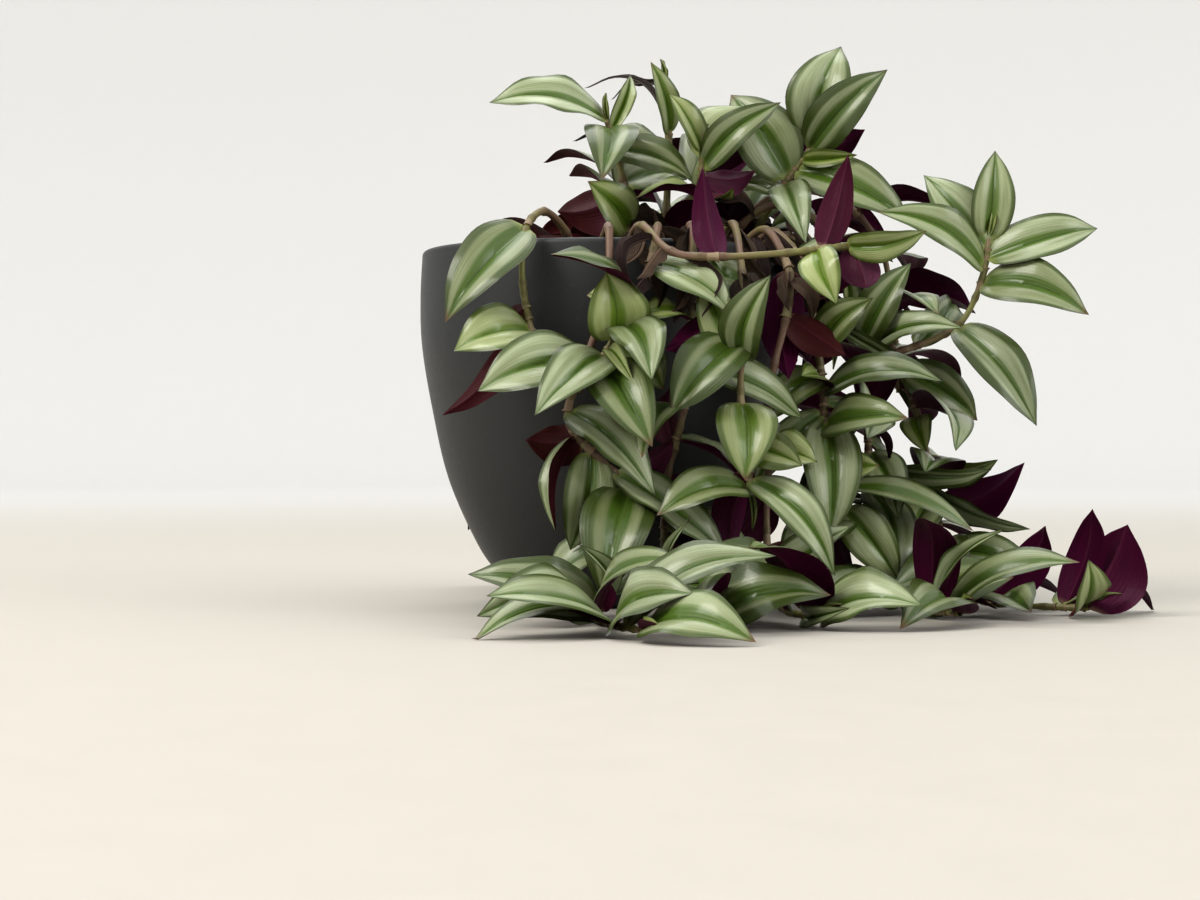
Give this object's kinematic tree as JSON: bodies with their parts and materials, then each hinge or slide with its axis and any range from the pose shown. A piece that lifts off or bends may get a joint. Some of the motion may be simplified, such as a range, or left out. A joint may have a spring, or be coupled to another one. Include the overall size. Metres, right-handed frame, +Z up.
{
  "type": "potted tradescantia",
  "caption": "Round matt pot with a trailing house plant: striped pointed leaves on jointed stems that arch over the rim and lie along the surface.",
  "frame": {"origin": "middle of the pot's flat foot, on the surface that it stands on", "axes": "+Z up, +X to the side that most of the plant trails over, -Y to the front"},
  "size_m": [0.2964, 0.3821, 0.233],
  "materials": {
    "pot": "matte",
    "soil": "matte",
    "leaf": "satin"
  },
  "bodies": {
    "root": {"pot": "pot", "soil": "soil", "stem_crown_left": "leaf", "stem_crown_thin": "leaf", "stem_crown_middle": "leaf", "stem_crown_right": "leaf", "stem_level": "leaf", "stem_far_right": "leaf", "stem_left": "leaf", "stem_left_rim": "leaf", "stem_left_long": "leaf", "stem_front": "leaf", "stem_front_long": "leaf", "stem_purple": "leaf", "stem_front_right": "leaf", "stem_right_long": "leaf", "stem_right_inner": "leaf", "stem_rear_1": "leaf", "stem_rear_2": "leaf", "stem_rear_3": "leaf", "stem_rear_4": "leaf", "stem_rear_5": "leaf", "stem_rear_6": "leaf", "stem_rear_7": "leaf", "stem_top_1": "leaf", "stem_top_2": "leaf"}
  },
  "joints": []
}
